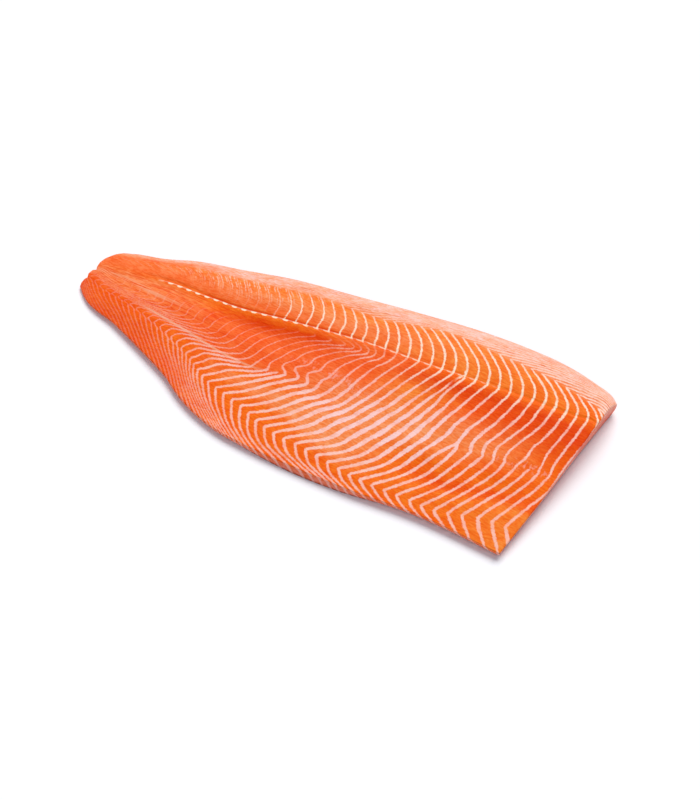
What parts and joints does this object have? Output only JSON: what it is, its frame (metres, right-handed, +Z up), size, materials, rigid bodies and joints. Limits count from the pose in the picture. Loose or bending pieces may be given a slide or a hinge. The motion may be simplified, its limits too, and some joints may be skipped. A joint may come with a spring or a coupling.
{
  "type": "raw salmon side fillet",
  "caption": "Long raw side of salmon, skinned and lying flesh side up: thick along the back, thin along the belly, with a torn tail end and a straight cut at the head end.",
  "frame": {"origin": "centre of the bounding box, on the plane of the flat underside", "axes": "+X along the fillet from the tail to the cut at the head end, +Y across it from the belly edge to the back edge, +Z up through its thickness"},
  "size_m": [0.5596, 0.2458, 0.0294],
  "materials": {
    "salmon_flesh": "moist raw orange flesh with a wet gloss, crossed by pale pink and cream lines of connective tissue"
  },
  "bodies": {
    "root": {"salmon_fillet": "salmon_flesh"}
  },
  "joints": []
}
